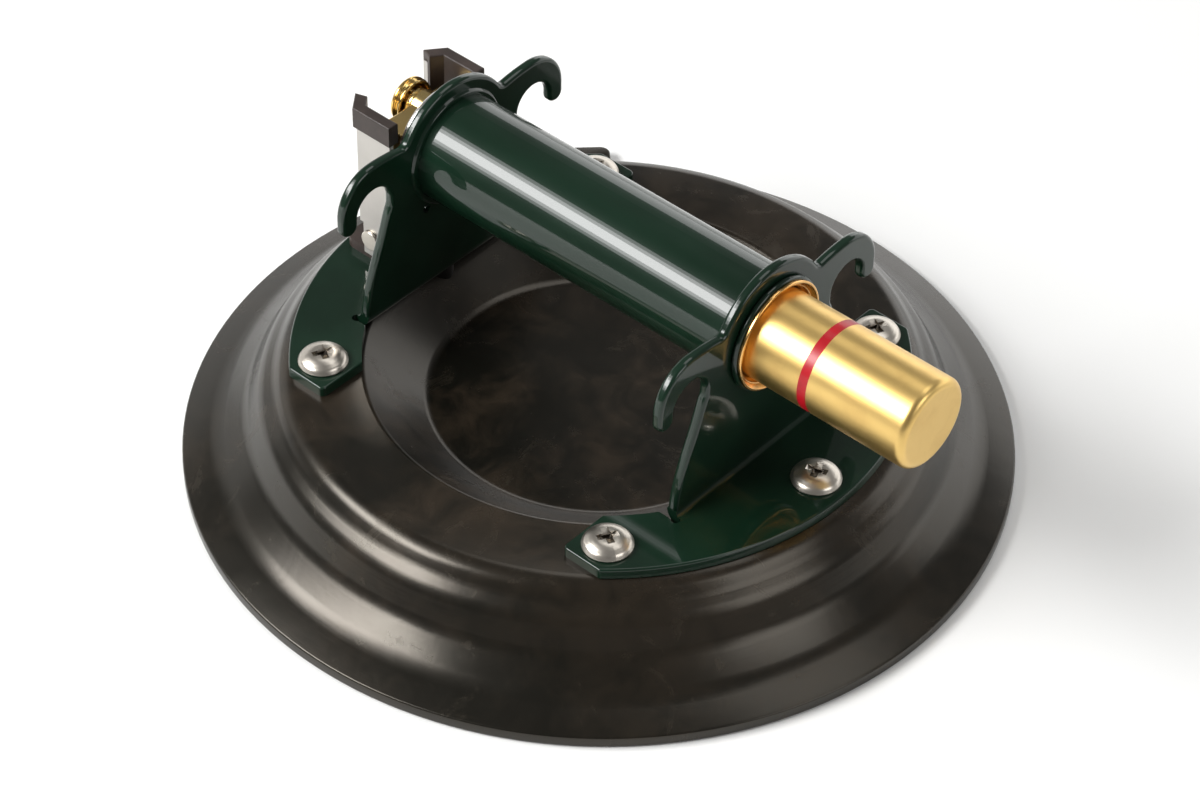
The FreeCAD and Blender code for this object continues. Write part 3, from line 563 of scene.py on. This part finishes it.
screw_steel = steel("screw_stainless", (0.60, 0.555, 0.49), (1, 1, 1), 0.24, 0.000004,
                    in_recess)
lever_steel = steel("lever_stainless", (0.50, 0.48, 0.45), (1, 1, 0.06), 0.26, 0.000002)
cap_steel = steel("cap_stainless", (0.74, 0.73, 0.71), (0.2, 1, 1), 0.16, 0.000002)
plate_steel = steel("zinc_plate", (0.52, 0.53, 0.55), (1, 1, 1), 0.34, 0.000004)
wire_steel = steel("spring_wire", (0.55, 0.55, 0.56), (1, 1, 1), 0.22, 0.000002)
dress(screw_steel, "foot_screws", "base_screw", "lever_pin")
dress(lever_steel, "release_lever")
dress(cap_steel, "end_cap")
dress(plate_steel, "pad_plate")

# %% [markdown]
# ## Coil springs
#
# Two springs close up when the tool is worked. A solid from the design model could only
# slide along whole, and would come out at the back, so both coils are wound again. A
# small ring of wire is spun about the spring's axis and moved on a little at every step.
# Each coil stays with the cup.

# %% Wind the springs
WIRE_SIDES, TURN_STEPS = 8, 24


def wind(name, axis_at, coil_radius, wire, fixed_x, free_x, turns):
    """Coil along X from its fixed end to its free one."""
    shape = bmesh.new()
    toward = 1 if free_x > fixed_x else -1
    steps = turns * TURN_STEPS
    ring = bmesh.ops.create_circle(shape, segments=WIRE_SIDES, radius=wire)["verts"]
    start = Vector((fixed_x + toward * wire, axis_at[1], axis_at[2] + coil_radius))
    bmesh.ops.rotate(shape, verts=ring, matrix=Matrix.Rotation(math.pi / 2, 3, "X"))
    bmesh.ops.translate(shape, verts=ring, vec=start)
    advance = toward * (abs(free_x - fixed_x) - 2 * wire) / steps
    bmesh.ops.spin(shape, geom=shape.verts[:] + shape.edges[:], cent=axis_at, axis=(1, 0, 0),
                   dvec=(advance, 0, 0), angle=2 * math.pi * turns, steps=steps)
    ends = [e for e in shape.edges if e.is_boundary]
    bmesh.ops.holes_fill(shape, edges=ends, sides=WIRE_SIDES)
    bmesh.ops.recalc_face_normals(shape, faces=shape.faces)
    coil = piece_from(name + "_coil", shape, "cup", wire_steel, "spring_steel", name)
    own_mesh(coil)


wind("plunger_spring", handle_line, coil_radius=0.0096, wire=0.00075,
     fixed_x=-0.04995, free_x=0.03515, turns=11)
wind("stem_spring", stem_line, coil_radius=0.0029, wire=0.00035,
     fixed_x=-0.06865, free_x=-0.07425, turns=4)

# %% [markdown]
# ## Plastic, hose, seals and felt
#
# The grips on the lever and the lever's base are dark brown-black plastic with a spark
# texture from the mould. The hose is extruded, so its real marks run along it, though here
# its texture is even. The seals and the piston are hidden, but someone who takes the tool
# apart will see them.

# %% Dark soft finishes
def moulded(name, deep, worn, shine, grain_size, depth):
    """Moulded plastic or rubber with an even texture and paler rubbed patches."""
    stuff = Finish(name)
    cloud = stuff.noise(90.0, 4.0, 0.6)
    grain = stuff.noise(grain_size, 2.0, 0.6)
    pits = stuff.spots(grain_size * 0.6)
    relief = stuff.bump(grain, depth, 0.5)
    relief = stuff.bump(pits, depth, 0.3, under=relief)
    stuff.set(Base_Color=stuff.blend(cloud.step(0.42, 0.75), deep, worn), Normal=relief,
              Roughness=shine + grain * 0.12 + cloud * 0.08)
    return stuff


grip_plastic = moulded("grip_plastic", (0.021, 0.0125, 0.0095), (0.043, 0.028, 0.022), 0.36,
                       2600.0, 0.00002)
hose_rubber = moulded("hose_rubber", (0.009, 0.0085, 0.008), (0.020, 0.018, 0.017), 0.36,
                      1400.0, 0.00001)
seal_rubber = moulded("seal_rubber", (0.010, 0.010, 0.010), (0.022, 0.021, 0.020), 0.42,
                      1800.0, 0.00001)
piston_nylon = moulded("piston_nylon", (0.020, 0.020, 0.021), (0.035, 0.035, 0.036), 0.40,
                       1600.0, 0.00001)
dress(grip_plastic, "lever_grip_near", "lever_grip_far", "lever_base")
dress(seal_rubber, "piston_seal", "plug_ring", "check_valve", "stem_seal")
dress(piston_nylon, "piston", "port_nipple")

# %% [markdown]
# ## The vacuum hose
#
# A short rubber hose runs from the valve down through the rear foot into the cup. Its
# middle steps sideways, so it is a smooth curve through a few points, with a round
# section given by the curve's own bevel. Both ends are pushed on nipples and never move.

# %% Hose as a curve
HOSE_RADIUS, HOSE_SIDE = 0.0035, 0.0005
HOSE_POINTS = [(-0.0649, 0.0637), (-0.0649, 0.0600), (-0.0649, 0.0555), (-0.0628, 0.0501),
               (-0.0606, 0.0448), (-0.0606, 0.0400), (-0.0606, 0.0230)]
line = bpy.data.curves.new("hose_tube", "CURVE")
line.dimensions = "3D"
line.bevel_depth, line.bevel_resolution, line.use_fill_caps = HOSE_RADIUS, 6, True
run = line.splines.new("NURBS")
run.points.add(len(HOSE_POINTS) - 1)
for point, (x, z) in zip(run.points, HOSE_POINTS):
    point.co = (x, HOSE_SIDE, z, 1.0)
run.order_u, run.use_endpoint_u, run.resolution_u = 3, True, 12
line.materials.append(hose_rubber.material)
hose = bpy.data.objects.new("hose_tube", line)
bpy.context.scene.collection.objects.link(hose)
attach(hose, "cup")
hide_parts("vacuum_hose")
print("hose of", len(HOSE_POINTS), "points")

# %% [markdown]
# ## Felt
#
# A small piece of felt in the cup's port keeps dust out of the valve. It is matt all
# over, and only its short crossed fibres give it a surface.

# %% Felt
felt = Finish("filter_felt", Roughness=0.95)
fibres = felt.noise(3000.0, 3.0, 0.7, 2.0)
FELT_DARK, FELT_PALE = (0.62, 0.60, 0.54), (0.80, 0.78, 0.73)
felt.set(Base_Color=felt.blend(fibres, FELT_DARK, FELT_PALE),
         Normal=felt.bump(fibres, 0.0002, 0.8))
dress(felt, "port_filter")

# %% [markdown]
# ## The floor's finish
#
# The floor is a sheet of pale card. It gets a finish like anything else, though a very
# quiet one.

# %% Card floor
CARD_DARK, CARD_PALE = (0.93, 0.93, 0.92), (0.96, 0.96, 0.95)
card = Finish("card", Roughness=0.8)
card.set(Base_Color=card.blend(card.noise(6.0, 2.0), CARD_DARK, CARD_PALE))
floor.data.materials.append(card.material)
print(card.material.name, "on the floor")
